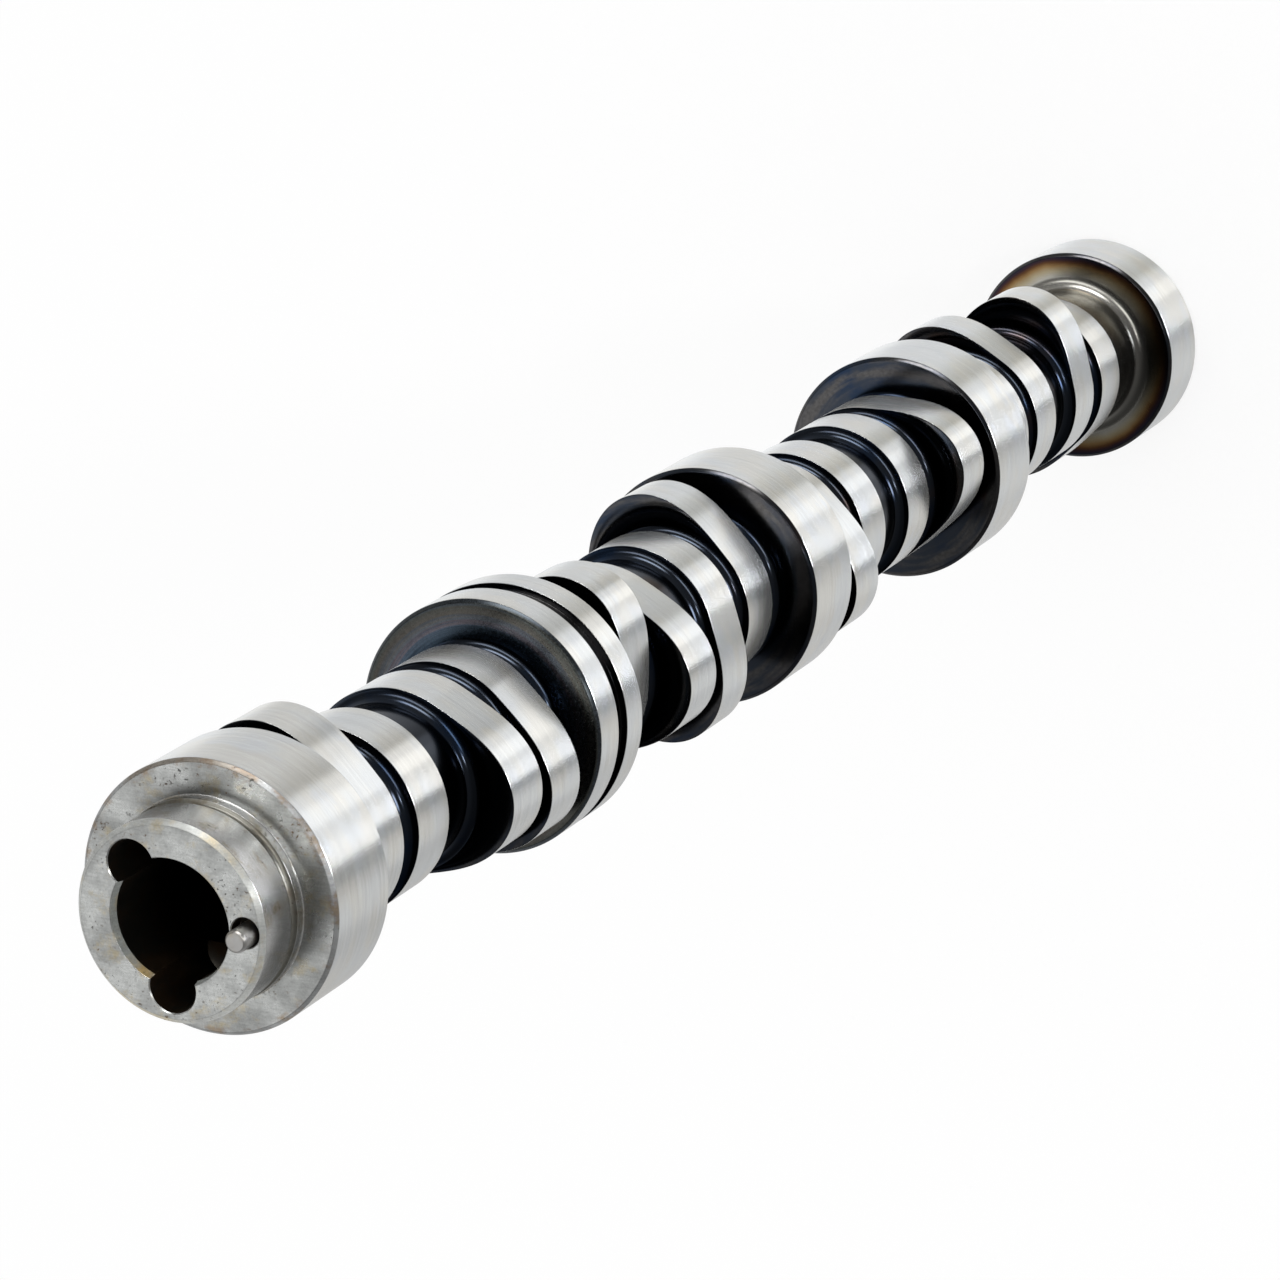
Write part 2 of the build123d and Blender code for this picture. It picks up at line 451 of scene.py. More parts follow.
@dataclass(frozen=True)
class DarkSteel(SteelFinish):
    """Heat-treated steel that was never ground: almost black, with faint temper colours.

    Painted shade makes the steel lighter on one side of the shaft and darker on the far side.

    Attributes:
        blue: Blue of the thicker oxide.
        brown: Brown of the thinner oxide.
        scale: Grey of the loose scale on the wide faces.
        lit_side: Direction of the side that is painted lighter, in degrees.
        hub: Radii between which the wide faces' loose scale begins, in metres.
        painted_side_shades: Painted shade of the far side and of the lighter side.
    """

    blue: Colour = (0.018, 0.032, 0.062)
    brown: Colour = (0.100, 0.052, 0.026)
    scale: Colour = (0.078, 0.076, 0.076)
    lit_side: float = 135.0
    hub: Point = (20.2 * MM, 22.7 * MM)
    painted_side_shades: Point = (0.35, 1.05)

    def dress(self, coat: Coat) -> None:
        """Adds the oxide's colours, streaks of scale, turning marks and an uneven sheen.

        Args:
            coat: The material's coat.
        """
        clouds = coat.noise((70.0, 70.0, 110.0), 4.0, 0.6)
        drift = coat.noise((38.0, 38.0, 60.0), shift=(0.3, 0.1, 0.2))
        streaks = coat.streaks((55.0, 55.0, 9.0), 420.0, 0.6)
        specks = coat.noise(1100.0, 2.0)
        oxide = coat.mix(coat.smooth(clouds, 0.48, 0.70), self.colour, self.blue)
        oxide = coat.mix(coat.smooth(drift, 0.56, 0.76) * 0.75, oxide, self.brown)
        loose = coat.smooth(streaks, 0.38, 0.62) * coat.smooth(coat.radius, *self.hub)
        oxide = coat.mix(loose, oxide, coat.shaded(self.scale, coat.spread(specks, 0.78, 1.22)))
        # Painted shade: the steel is lighter on one side of the shaft and darker on the far side.
        ends = {"From_Min": -1.0, "From_Max": 0.7, "To_Min": self.painted_side_shades[0], "To_Max": self.painted_side_shades[1]}
        shade = coat.get("ShaderNodeMapRange", Value=coat.side(self.lit_side), **ends)
        rough = self.roughness + (clouds - 0.5) * 0.16
        coat.lay(coat.shaded(oxide, shade), rough, coat.rings(0.5 * MM) + specks * 0.8, 0.0014 * MM)


@dataclass(frozen=True)
class ScaledSteel(SteelFinish):
    """The second journal's face: blue-black at the hub, then blue-grey streaks, then brown-grey scale.

    Attributes:
        inner: Radius of the hub, in metres.
        outer: Radius of the rim, in metres.
        rings: The oxide's colours from the hub to the rim.
    """

    inner: float = 20.0 * MM
    outer: float = 27.0 * MM
    rings: tuple[tuple[float, Colour], ...] = (
        (0.0, (0.028, 0.042, 0.060)),
        (0.16, (0.050, 0.070, 0.094)),
        (0.30, (0.066, 0.086, 0.116)),
        (0.40, (0.096, 0.084, 0.096)),
        (0.50, (0.078, 0.090, 0.106)),
        (0.70, (0.078, 0.072, 0.064)),
        (0.90, (0.060, 0.064, 0.060)),
        (1.0, (0.046, 0.053, 0.060)),
    )

    def dress(self, coat: Coat) -> None:
        """Adds the oxide's rings, torn into streaks and specks.

        Args:
            coat: The material's coat.
        """
        streaks = coat.streaks((28.0, 28.0, 1.0), 1300.0, 0.62)
        specks = coat.noise(1300.0, 3.0, 0.6)
        share = (coat.radius - self.inner) / (self.outer - self.inner) + (streaks - 0.5) * 0.80
        shade = coat.spread(specks, 0.76, 1.20) * coat.spread(streaks, 0.66, 1.26)
        rough = self.roughness + (specks - 0.5) * 0.20
        coat.lay(coat.shaded(coat.ramp(share, self.rings), shade), rough, specks + streaks, 0.003 * MM)


@dataclass(frozen=True)
class StainAndShade:
    """A coloured patch on one side of the shaft: a stain, and on the first journal's chamfer partly painted
    shade.

    Attributes:
        angle: Direction of its middle in degrees.
        spread: Half its width in degrees.
        share: How strong it is.
        colour: Its colour.
    """

    angle: float
    spread: float
    share: float
    colour: Colour

    def lay(self, coat: Coat, steel: Term, torn: Term) -> Term:
        """Lays the stain over a colour.

        Args:
            coat: The material's coat.
            steel: The colour under it.
            torn: Noise of 0 to 1 that tears its edge.

        Returns:
            The stained colour.
        """
        edge = math.cos(math.radians(self.spread))
        ragged = coat.side(self.angle) + (torn - 0.5) * 0.25
        return coat.mix(coat.smooth(ragged, edge - 0.04, edge + 0.08) * self.share, steel, self.colour)


@dataclass(frozen=True)
class FacedSteel(SteelFinish):
    """A turned face: dull grey, with circular tool marks, pits, rust specks and yellow stains.

    Attributes:
        stain: Yellow-brown of the oil stains.
        rust: Brown of the specks.
        pit: Dark of the pits.
        rusty_rim: Radii between which the rust gathers, in metres.
        foot: Radii between which painted shade lies round the nose's foot, in metres.
        hub_shade_side: Direction of the side where that painted shade is darkest, in degrees.
        hub_shade_share: How much the painted shade darkens the steel there.
        patches: Stains at their own places, one of them partly painted shade.
    """

    stain: Colour = (0.44, 0.37, 0.23)
    rust: Colour = (0.20, 0.11, 0.05)
    pit: Colour = (0.05, 0.05, 0.05)
    rusty_rim: Point = (25.4 * MM, 26.3 * MM)
    foot: Point = (20.2 * MM, 24.0 * MM)
    hub_shade_side: float = 103.0
    hub_shade_share: float = 0.6
    patches: tuple[StainAndShade, ...] = ()

    def across_marks(self, coat: Coat) -> Term:
        """Returns the direction of the wider sheen: along the radius, across the turning marks."""
        return coat.outward

    def dress(self, coat: Coat) -> None:
        """Adds the turning marks, scratches, stains, specks and pits.

        Args:
            coat: The material's coat.
        """
        radius = coat.radius
        rings = coat.noise((3400.0, 3400.0, 1.0), place=coat.join(X=radius, Y=coat.height))
        clouds = coat.noise(120.0, 6.0, 0.66)
        blotches = coat.noise(230.0, 5.0, 0.65, shift=(0.11, 0.27, 0.05))
        specks = coat.noise(1250.0, shift=(0.4, 0.2, 0.3))
        grain = coat.noise(2600.0, 2.0)
        scratches = coat.noise((220.0, 2600.0, 220.0), 3.0, 0.6, turn=0.7)
        steel = coat.mix(coat.smooth(clouds, 0.36, 0.70), self.colour, tuple(c * 0.66 for c in self.colour))
        steel = coat.mix(coat.smooth(blotches, 0.52, 0.72) * 0.65, steel, self.stain)
        for patch in self.patches:
            steel = patch.lay(coat, steel, blotches)
        steel = coat.shaded(steel, coat.spread(scratches, 0.90, 1.09) * coat.spread(grain, 0.90, 1.10))
        # Painted shade round the nose's foot, darkest on one side of the shaft.
        inside, outside = self.foot
        hub_shade = coat.smooth(radius, outside, inside) * coat.math("GREATER_THAN", radius, inside)
        hub_shade = hub_shade * coat.smooth(coat.side(self.hub_shade_side), 0.75, 1.0)
        steel = coat.shaded(steel, 1.0 - hub_shade * self.hub_shade_share)
        rim = coat.smooth(radius, *self.rusty_rim) * coat.smooth(blotches, 0.46, 0.62)
        steel = coat.mix(rim * 0.45, steel, self.rust)
        pits = coat.smooth(specks, 0.60, 0.70) * coat.smooth(coat.noise(75.0, 2.0), 0.44, 0.60)
        steel = coat.mix(pits * 0.75, steel, coat.mix(coat.smooth(clouds, 0.45, 0.6), self.pit, self.rust))
        rough = self.roughness + (clouds - 0.5) * 0.30 + pits * 0.25
        coat.lay(steel, rough, rings + clouds * 5.0 - pits * 9.0, 0.0022 * MM)


@dataclass(frozen=True)
class NoseSteel(SteelFinish):
    """The nose's turned cylinder: a duller ground finish with a few stains and pits.

    Attributes:
        stain: Brown of the stains.
        pit: Dark of the pits.
    """

    stain: Colour = (0.36, 0.30, 0.19)
    pit: Colour = (0.05, 0.04, 0.03)

    def dress(self, coat: Coat) -> None:
        """Adds tool marks that run round the nose, stains and pits.

        Args:
            coat: The material's coat.
        """
        lines = coat.noise((60.0, 60.0, 2600.0), 3.0, 0.6)
        clouds = coat.noise((150.0, 150.0, 190.0), 5.0, 0.62)
        grain = coat.noise(2400.0, 2.0)
        steel = coat.mix(coat.smooth(clouds, 0.50, 0.70) * 0.75, self.colour, self.stain)
        steel = coat.shaded(steel, coat.spread(lines, 0.92, 1.07) * coat.spread(grain, 0.90, 1.10))
        pits = coat.smooth(coat.noise(1300.0), 0.64, 0.70) * coat.smooth(clouds, 0.48, 0.60)
        rough = self.roughness + (clouds - 0.5) * 0.22
        coat.lay(coat.mix(pits * 0.85, steel, self.pit), rough, lines + clouds * 3.0, 0.0016 * MM)


@dataclass(frozen=True)
class BoredSteel(SteelFinish):
    """The inside of the holes: oily brown patches, with painted shade that makes it nearly black further in.

    Attributes:
        brown: Brown of the oily patches.
        depths: Heights above the rear face between which the light comes in, in metres.
        deep_shade: Painted shade of the steel below them.
    """

    brown: Colour = (0.20, 0.13, 0.075)
    depths: Point = (470.0 * MM, 492.0 * MM)
    deep_shade: float = 0.12

    def dress(self, coat: Coat) -> None:
        """Adds oily patches and the drill's marks.

        Args:
            coat: The material's coat.
        """
        clouds = coat.noise((120.0, 120.0, 80.0), 4.0, 0.6)
        lines = coat.noise((40.0, 40.0, 2600.0))
        oily = coat.mix(coat.smooth(clouds, 0.42, 0.66), self.colour, self.brown)
        # Painted shade: the steel darkens with depth below the mouth.
        shade = self.deep_shade + coat.smooth(coat.height, *self.depths) * (1.0 - self.deep_shade)
        rough = self.roughness + (clouds - 0.5) * 0.25
        coat.lay(coat.shaded(oily, shade), rough, lines, 0.002 * MM)


@dataclass(frozen=True)
class TemperedSteel(SteelFinish):
    """The rear journal's face: silver near the core, then straw, brown and blue towards the rim.

    Attributes:
        inner: Radius where the straw colour begins, in metres.
        outer: Radius of the rim, in metres.
        lit_side: Direction of the side that is painted lighter, in degrees.
        shaded_side: Direction of the side where painted shade darkens the face outside the core, in degrees.
        shade_from: Radii between which that painted shade begins, in metres.
        rings: The oxide's colours from the core to the rim.
    """

    inner: float = 17.5 * MM
    outer: float = 26.9 * MM
    lit_side: float = 118.0
    shaded_side: float = 34.0
    shade_from: Point = (18.7 * MM, 20.5 * MM)
    rings: tuple[tuple[float, Colour], ...] = (
        (0.0, (0.42, 0.41, 0.38)),
        (0.42, (0.40, 0.39, 0.35)),
        (0.58, (0.34, 0.29, 0.19)),
        (0.72, (0.24, 0.15, 0.065)),
        (0.82, (0.105, 0.050, 0.022)),
        (0.90, (0.040, 0.022, 0.026)),
        (1.0, (0.022, 0.024, 0.040)),
    )

    def dress(self, coat: Coat) -> None:
        """Adds the temper colours by radius, with an uneven edge.

        Args:
            coat: The material's coat.
        """
        clouds = coat.noise(85.0)
        share = (coat.radius - self.inner) / (self.outer - self.inner) + (clouds - 0.5) * 0.26
        # Painted shade: the face is lighter on one side, and darker on another side outside the core.
        bright = 0.30 + coat.smooth(coat.side(self.lit_side), -0.35, 0.75) * 0.72
        dark_side_shade = coat.smooth(coat.side(self.shaded_side), 0.20, 0.92)
        dark_side_shade = dark_side_shade * coat.smooth(coat.radius, *self.shade_from)
        steel = coat.shaded(coat.ramp(share, self.rings), bright * (1.0 - dark_side_shade * 0.60))
        coat.lay(steel, self.roughness + (clouds - 0.5) * 0.14, coat.rings(0.4 * MM), 0.0003 * MM)


@dataclass(frozen=True)
class PinSteel(SteelFinish):
    """The locating pin: bright, with small scuffs.

    Attributes:
        dull: Colour of its duller patches.
    """

    dull: Colour = (0.38, 0.35, 0.30)

    def dress(self, coat: Coat) -> None:
        """Adds scuffs and a faintly uneven colour.

        Args:
            coat: The material's coat.
        """
        scuffs = coat.noise((700.0, 700.0, 2200.0), 4.0, 0.65)
        steel = coat.mix(coat.smooth(coat.noise(260.0), 0.4, 0.75), self.colour, self.dull)
        coat.lay(steel, self.roughness + (scuffs - 0.5) * 0.3, scuffs, 0.003 * MM)


BROWN: Colour = (0.24, 0.20, 0.15)
AMBER: Colour = (0.66, 0.56, 0.36)
DEEP_AMBER: Colour = (0.60, 0.42, 0.16)

FINISHES: dict[Surface, SteelFinish] = {
    Surface.GROUND: GroundSteel("bright_ground_steel", (0.72, 0.735, 0.735), 0.19, 0.86, 0.92),
    Surface.DARK: DarkSteel("dark_steel", (0.036, 0.043, 0.056), 0.16),
    Surface.FACED: FacedSteel("faced_steel", (0.475, 0.485, 0.475), 0.29, 0.35),
    Surface.BORED: BoredSteel("bored_steel", (0.18, 0.165, 0.14), 0.34),
    Surface.TEMPERED: TemperedSteel("tempered_steel", (0.42, 0.40, 0.37), 0.25),
    Surface.NOSE: NoseSteel("nose_steel", (0.54, 0.54, 0.53), 0.23, 0.35, 0.95),
    # The relief groove's steel is darker than the nose's: painted shade in the groove, with a brown stain.
    Surface.RELIEF: NoseSteel("relief_steel", (0.20, 0.195, 0.17), 0.34, stain=(0.12, 0.10, 0.07)),
    Surface.SCALED: ScaledSteel("scaled_steel", (0.08, 0.08, 0.08), 0.27),
    # The brown patch on the first journal's chamfer is partly a stain and partly painted shade on that side.
    Surface.CHAMFER: FacedSteel(
        "chamfer_steel", (0.47, 0.48, 0.48), 0.44, patches=(StainAndShade(98.0, 36.0, 0.7, BROWN),)
    ),
    Surface.NOSE_CHAMFER: FacedSteel(
        "nose_chamfer_steel",
        (0.52, 0.53, 0.51),
        0.36,
        metal=0.5,
        patches=(StainAndShade(55.0, 13.0, 0.8, AMBER), StainAndShade(250.0, 25.0, 0.5, AMBER)),
    ),
    Surface.MOUTH: FacedSteel(
        "mouth_steel", (0.42, 0.44, 0.42), 0.50, metal=0.35, patches=(StainAndShade(240.0, 16.0, 0.85, DEEP_AMBER),)
    ),
}
PIN_FINISH = PinSteel("bright_pin_steel", (0.40, 0.395, 0.385), 0.33)


# ---- The shaft's layout and its turned profile ----


@dataclass(frozen=True)
class Layout:
    """Where journals and lobes stand along the shaft. Sizes are millimetres and degrees.

    A station is a distance behind the front edge of the first journal's ground width, and a height is
    measured up from the rear face.
    """

    journal_radius: float = 27.5
    journal_width: float = 19.6
    journal_chamfer: float = 0.75
    journal_pitch: float = 111.76
    first_journal_lead: float = 1.6
    last_journal_lag: float = 11.3
    last_journal_width: float = 18.2
    nose_length: float = 14.8
    lobe_width: float = 12.9
    base_radius: float = 19.65
    first_lobe: float = 33.0
    bank_offset: float = 19.15
    valve_spacing: float = 46.25
    bays: int = 4
    lobes_per_bay: int = 4

    def journal_span(self, index: int) -> tuple[float, float]:
        """Finds where a journal stands.

        Args:
            index: The journal's number, from 0 at the front.

        Returns:
            The front and rear stations of its ground width.
        """
        if index == 0:
            return 0.0, self.journal_width
        front = self.first_journal_lead + index * self.journal_pitch
        if index == self.bays:
            front += self.last_journal_lag
            return front, front + self.last_journal_width
        return front, front + self.journal_width

    def lobe_centre(self, bay: int, place: int) -> float:
        """Returns the station of a lobe's middle."""
        start = self.first_journal_lead + bay * self.journal_pitch + self.first_lobe
        return start + self.bank_offset * (place % 2) + self.valve_spacing * (place // 2)

    def height(self, station: float) -> float:
        """Returns the height of a station."""
        return self.journal_span(self.bays)[1] + self.journal_chamfer - station

    @property
    def nose_face(self) -> float:
        """Height of the nose's end face."""
        return self.height(0.0) + self.journal_chamfer + self.nose_length


@dataclass
class Profile:
    """An outline that is turned round the shaft's axis, drawn from point to point, in millimetres.

    Attributes:
        edge_break: Radius that breaks each sharp corner.
        break_steps: Faces across a broken corner.
        break_share: The most of a run that a broken corner takes.
        hold: Distance of the extra line from each end of a long flat, which keeps it flat up to there.
        long_flat: Length of the shortest flat that has such lines.
    """

    edge_break: float = 0.12
    break_steps: int = 3
    break_share: float = 0.4
    hold: float = 0.12
    long_flat: float = 0.96
    points: list[Point] = field(default_factory=list)
    surfaces: list[Surface] = field(default_factory=list)
    breaks: list[float] = field(default_factory=list)

    def go(self, radius: float, height: float, surface: Surface, edge_break: float | None = None) -> None:
        """Draws a straight run.

        Args:
            radius: Radius of the point where it ends.
            height: Height of that point.
            surface: How the run is worked.
            edge_break: Radius that breaks the corner at its end, if not the usual one.
        """
        self.points.append((radius, height))
        self.surfaces.append(surface)
        self.breaks.append(self.edge_break if edge_break is None else edge_break)

    def curve(self, stops: list[Point], surface: Surface) -> None:
        """Draws through the points of a curve, whose corners are left as they are."""
        for radius, height in stops:
            self.go(radius, height, surface, 0.0)

    def finished(self) -> tuple[list[Point], list[Surface]]:
        """Breaks the corners and holds long flats flat up to their ends.

        Returns:
            The points, and how each run between them is worked.
        """
        rounded: list[tuple[Vector, Surface]] = []
        for i, (here, surface, size) in enumerate(zip(self.points, self.surfaces, self.breaks)):
            corner = Vector(here)
            if not size or i in (0, len(self.points) - 1):
                rounded.append((corner, surface))
                continue
            before, after = Vector(self.points[i - 1]) - corner, Vector(self.points[i + 1]) - corner
            reach = min(size, before.length * self.break_share, after.length * self.break_share)
            start, end = corner + before.normalized() * reach, corner + after.normalized() * reach
            for k in range(self.break_steps + 1):
                t = k / self.break_steps
                middle = start.lerp(corner, t).lerp(corner.lerp(end, t), t)
                rounded.append((middle, surface if t <= 0.5 else self.surfaces[i + 1]))
        points, surfaces = [rounded[0][0]], []
        for (a, _), (b, surface) in zip(rounded, rounded[1:]):
            span = b - a
            share = self.hold / span.length
            for t in [share, 1 - share, 1.0] if span.length > self.long_flat else [1.0]:
                points.append(a + span * t)
                surfaces.append(surface)
        return [tuple(p) for p in points], surfaces


def arc(centre: Point, radius: float, start: float, end: float, steps: int) -> list[Point]:
    """Returns points on an arc, with its angles in degrees.

    Args:
        centre: Radius and height of the arc's centre.
        radius: The arc's radius.
        start: Angle of the first point, from the outward direction towards up.
        end: Angle of the last point.
        steps: How many runs the arc has.

    Returns:
        The points from start to end.
    """
    turns = [math.radians(start + (end - start) * k / steps) for k in range(steps + 1)]
    return [(centre[0] + radius * math.cos(t), centre[1] + radius * math.sin(t)) for t in turns]


def polar(circle: float, angle: float) -> Point:
    """Returns the point at a distance from the shaft's axis, at an angle in degrees about it."""
    return circle * math.cos(math.radians(angle)), circle * math.sin(math.radians(angle))


def cone_depth(radius: float, point_angle: float) -> float:
    """Returns the depth of a cone that a drill with a point angle in degrees leaves."""
    return radius / math.tan(math.radians(point_angle / 2))


def placed(name: str, mesh: bpy.types.Mesh) -> bpy.types.Object:
    """Puts a mesh in the scene.

    Args:
        name: The new object's name.
        mesh: The mesh that it carries.

    Returns:
        The object, at the origin.
    """
    piece = bpy.data.objects.new(name, mesh)
    bpy.context.scene.collection.objects.link(piece)
    return piece


def turned(
    name: str, outline: tuple[list[Point], list[Surface]], segments: int, centre: Point = (0.0, 0.0)
) -> bpy.types.Object:
    """Turns an outline round an upright axis.

    Args:
        name: The new object's name.
        outline: Radii and heights in millimetres, the first and last on the axis, and how each run
            between two of them is worked.
        segments: Faces round the axis.
        centre: Where the axis stands, in millimetres.

    Returns:
        An object at the origin with a closed mesh, whose faces point outwards.
    """
    form = bmesh.new()
    points, surfaces = outline
    rings = []
    for radius, height in points:
        turns = [2 * math.pi * k / segments for k in range(segments)] if radius > ON_AXIS else [0.0]
        spots = [(centre[0] + radius * math.cos(t), centre[1] + radius * math.sin(t), height) for t in turns]
        rings.append([form.verts.new([size * MM for size in spot]) for spot in spots])
    for upper, lower, surface in zip(rings, rings[1:], surfaces):
        for k in range(segments):
            n = (k + 1) % segments
            corners = [ring[m % len(ring)] for ring, m in ((upper, k), (upper, n), (lower, n), (lower, k))]
            face = form.faces.new(list(dict.fromkeys(corners)))
            face.material_index = surface.value
            face.smooth = True
    bmesh.ops.recalc_face_normals(form, faces=form.faces)
    mesh = bpy.data.meshes.new(name)
    form.to_mesh(mesh)
    form.free()
    return placed(name, mesh)


def settle(piece: bpy.types.Object) -> bpy.types.Mesh:
    """Turns what a piece's modifiers make of it into its plain mesh, and removes them.

    Args:
        piece: The object with the modifiers.

    Returns:
        Its new mesh, shaded smooth.
    """
    bpy.context.view_layer.update()
    mesh = bpy.data.meshes.new_from_object(piece.evaluated_get(bpy.context.evaluated_depsgraph_get()))
    piece.modifiers.clear()
    piece.data = mesh
    mesh.name = piece.name
    mesh.shade_smooth()
    return mesh


# ---- The shaft's pieces ----


@dataclass
class TurnedShaft:
    """The turned body: nose, journals, necks, and the holes in its ends, in millimetres and degrees."""

    layout: Layout
    steels: dict[Surface, bpy.types.Material]
    segments: int = 160
    fillet_steps: int = 7
    neck_radius: float = 16.8
    neck_fillet: float = 2.4
    root_step: float = 0.2
    last_neck_radius: float = 17.9
    last_neck_fillets: tuple[float, float] = (1.5, 3.5)
    grooved_journal: int = 1
    groove_start: float = 8.2
    groove_width: float = 4.2
    groove_depth: float = 1.5
    nose_radius: float = 20.1
    nose_chamfer: float = 1.0
    relief_width: float = 2.2
    relief_depth: float = 0.8
    relief_break: float = 0.08
    relief_steps: int = 8
    collar_radius: float = 20.3
    collar_width: float = 2.2
    collar_fillet: float = 0.25
    collar_steps: int = 4
    bore_radius: float = 12.3
    bore_depth: float = 60.0
    bore_break: float = 0.05
    mouth_radius: float = 12.7
    mouth_depth: float = 1.8
    mouth_break: float = 0.15
    side_hole_radius: float = 4.9
    side_hole_circle: float = 13.05
    side_hole_depth: float = 22.0
    side_hole_angles: tuple[float, ...] = (128.0, 271.0)
    drill_point: float = 118.0
    pin_relief_radius: float = 2.95
    pin_relief_circle: float = 16.05
    pin_relief_depth: float = 3.5
    pin_relief_angle: float = 1.6
    pin_seat_radius: float = 2.26
    pin_seat_circle: float = 16.15
    pin_seat_depth: float = 11.5
    centre_radius: float = 3.0
    centre_depth: float = 12.0
    centre_mouth_radius: float = 5.5
    centre_mouth_angle: float = 60.0
    hole_break: float = 0.22
    hole_segments: int = 72
    cutter_rise: float = 2.0
    cutter_lap: float = 0.02
    sharp_angle: float = 38.0

    def build(self) -> bpy.types.Object:
        """Builds the turned body, drills its holes and dresses it.

        Returns:
            The finished piece.
        """
        body = turned("turned_shaft", self.outline().finished(), self.segments)
        self.dress(body)
        self.drill(body)
        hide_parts("camshaft")
        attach(body, "root")
        return body

    def dress(self, piece: bpy.types.Object) -> None:
        """Gives the piece one material for each way its steel is worked."""
        for surface in Surface:
            piece.data.materials.append(self.steels[surface])

    def outline(self) -> Profile:
        """Draws the outline, from the floor of the front bore round to the centre hole at the rear.

        Returns:
            The outline, with its corners still sharp.
        """
        profile = Profile()
        self.draw_bore(profile)
        self.draw_nose(profile)
        self.draw_journal(profile, 0)
        for bay in range(self.layout.bays):
            self.draw_bay(profile, bay)
            self.draw_journal(profile, bay + 1)
        self.draw_rear(profile)
        return profile

    def draw_bore(self, profile: Profile) -> None:
        """Draws the front bore, from its floor up to the nose's face.

        Args:
            profile: The outline that is drawn on.
        """
        face = self.layout.nose_face
        floor = face - self.bore_depth
        profile.go(0.0, floor - cone_depth(self.bore_radius, self.drill_point), Surface.BORED)
        profile.go(self.bore_radius, floor, Surface.BORED)
        profile.go(self.bore_radius, face - self.mouth_depth, Surface.BORED, self.bore_break)
        profile.go(self.mouth_radius, face, Surface.MOUTH, self.mouth_break)

    def draw_nose(self, profile: Profile) -> None:
        """Draws the nose, down to the first journal's face.

        Args:
            profile: The outline that is drawn on.
        """
        face = self.layout.nose_face
        shoulder = face - self.layout.nose_length
        collar = shoulder + self.collar_width
        profile.go(self.nose_radius - self.nose_chamfer, face, Surface.FACED)
        profile.go(self.nose_radius, face - self.nose_chamfer, Surface.NOSE_CHAMFER)
        profile.go(self.nose_radius, collar + self.relief_width, Surface.NOSE, self.relief_break)
        half, deep = self.relief_width / 2, self.relief_depth
        hollow = (half * half + deep * deep) / (2 * deep)
        reach = math.degrees(math.asin(half / hollow))
        middle = (self.nose_radius - deep + hollow, collar + half)
        profile.curve(arc(middle, hollow, 180 - reach, 180 + reach, self.relief_steps)[1:-1], Surface.RELIEF)
        profile.go(self.collar_radius, collar, Surface.RELIEF, self.relief_break)
        fillet = self.collar_fillet
        foot = arc((self.collar_radius + fillet, shoulder + fillet), fillet, 180, 270, self.collar_steps)
        profile.curve([(self.collar_radius, shoulder + fillet), *foot[1:]], Surface.NOSE)

    def draw_journal(self, profile: Profile, index: int) -> None:
        """Draws a journal's two chamfers and its ground width, from its front face's rim down.

        Args:
            profile: The outline that is drawn on.
            index: The journal's number, from 0 at the front.
        """
        layout = self.layout
        front, rear = (layout.height(s) for s in layout.journal_span(index))
        radius, edge = layout.journal_radius, layout.journal_radius - layout.journal_chamfer
        face = {0: Surface.FACED, 1: Surface.SCALED, layout.bays: Surface.TEMPERED}.get(index, Surface.DARK)
        chamfer = {0: Surface.CHAMFER, 1: Surface.SCALED}.get(index, Surface.DARK)
        profile.go(edge, front + layout.journal_chamfer, face)
        profile.go(radius, front, chamfer)
        if index == self.grooved_journal:
            top = front - self.groove_start
            floor = radius - self.groove_depth
            profile.go(radius, top, Surface.GROUND)
            profile.go(floor, top, Surface.DARK)
            profile.go(floor, top - self.groove_width, Surface.DARK)
            profile.go(radius, top - self.groove_width, Surface.DARK)
        profile.go(radius, rear, Surface.GROUND)
        last_chamfer = Surface.FACED if index == layout.bays else Surface.DARK
        profile.go(edge, rear - layout.journal_chamfer, last_chamfer)

    def draw_bay(self, profile: Profile, bay: int) -> None:
        """Draws the necks of a bay, from one journal's rear face to the next one's front face.

        Args:
            profile: The outline that is drawn on.
            bay: The bay's number, from 0 at the front.
        """
        layout = self.layout
        half = layout.lobe_width / 2
        walls = [layout.height(layout.journal_span(bay)[1]) - layout.journal_chamfer]
        for place in range(layout.lobes_per_bay):
            centre = layout.height(layout.lobe_centre(bay, place))
            walls += [centre + half, centre - half]
        walls.append(layout.height(layout.journal_span(bay + 1)[0]) + layout.journal_chamfer)
        rim = layout.journal_radius - layout.journal_chamfer
        rims = [rim] + [layout.base_radius] * (2 * layout.lobes_per_bay) + [rim]
        necks = list(zip(walls[::2], walls[1::2], rims[::2], rims[1::2]))
        for number, (top, bottom, upper_rim, lower_rim) in enumerate(necks):
            last = bay == layout.bays - 1 and number == len(necks) - 1
            radius = self.last_neck_radius if last else self.neck_radius
            fillets = self.last_neck_fillets if last else (self.neck_fillet, self.neck_fillet)
            surface = Surface.TEMPERED if last else Surface.DARK
            self.draw_neck(profile, (top, bottom), (upper_rim, lower_rim), radius, fillets, surface)

